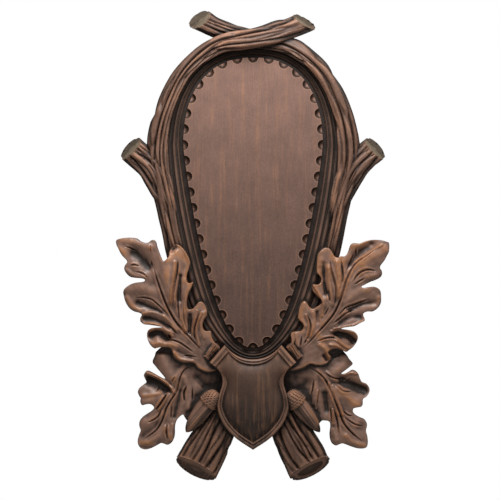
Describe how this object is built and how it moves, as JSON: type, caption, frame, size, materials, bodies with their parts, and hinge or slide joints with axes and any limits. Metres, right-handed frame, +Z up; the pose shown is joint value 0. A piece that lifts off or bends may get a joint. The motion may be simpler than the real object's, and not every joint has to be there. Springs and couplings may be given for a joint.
{
  "type": "antler mounting plaque",
  "caption": "Carved wooden wall plaque with a flat egg-shaped panel, scalloped edge, crossed branches, oak leaves, acorns and a small blank shield.",
  "frame": {"origin": "point of the flat back that meets the wall, in the middle of the width and midway between the top branch ends and the sawn butts at the foot", "axes": "+X to the right seen from the front, +Y into the wall, +Z up"},
  "size_m": [0.3175, 0.046, 0.5482],
  "materials": {
    "stained_wood": "dark brown stain, rubbed to a dull sheen on the ridges"
  },
  "bodies": {
    "root": {"carved_plaque": "stained_wood"}
  },
  "joints": []
}
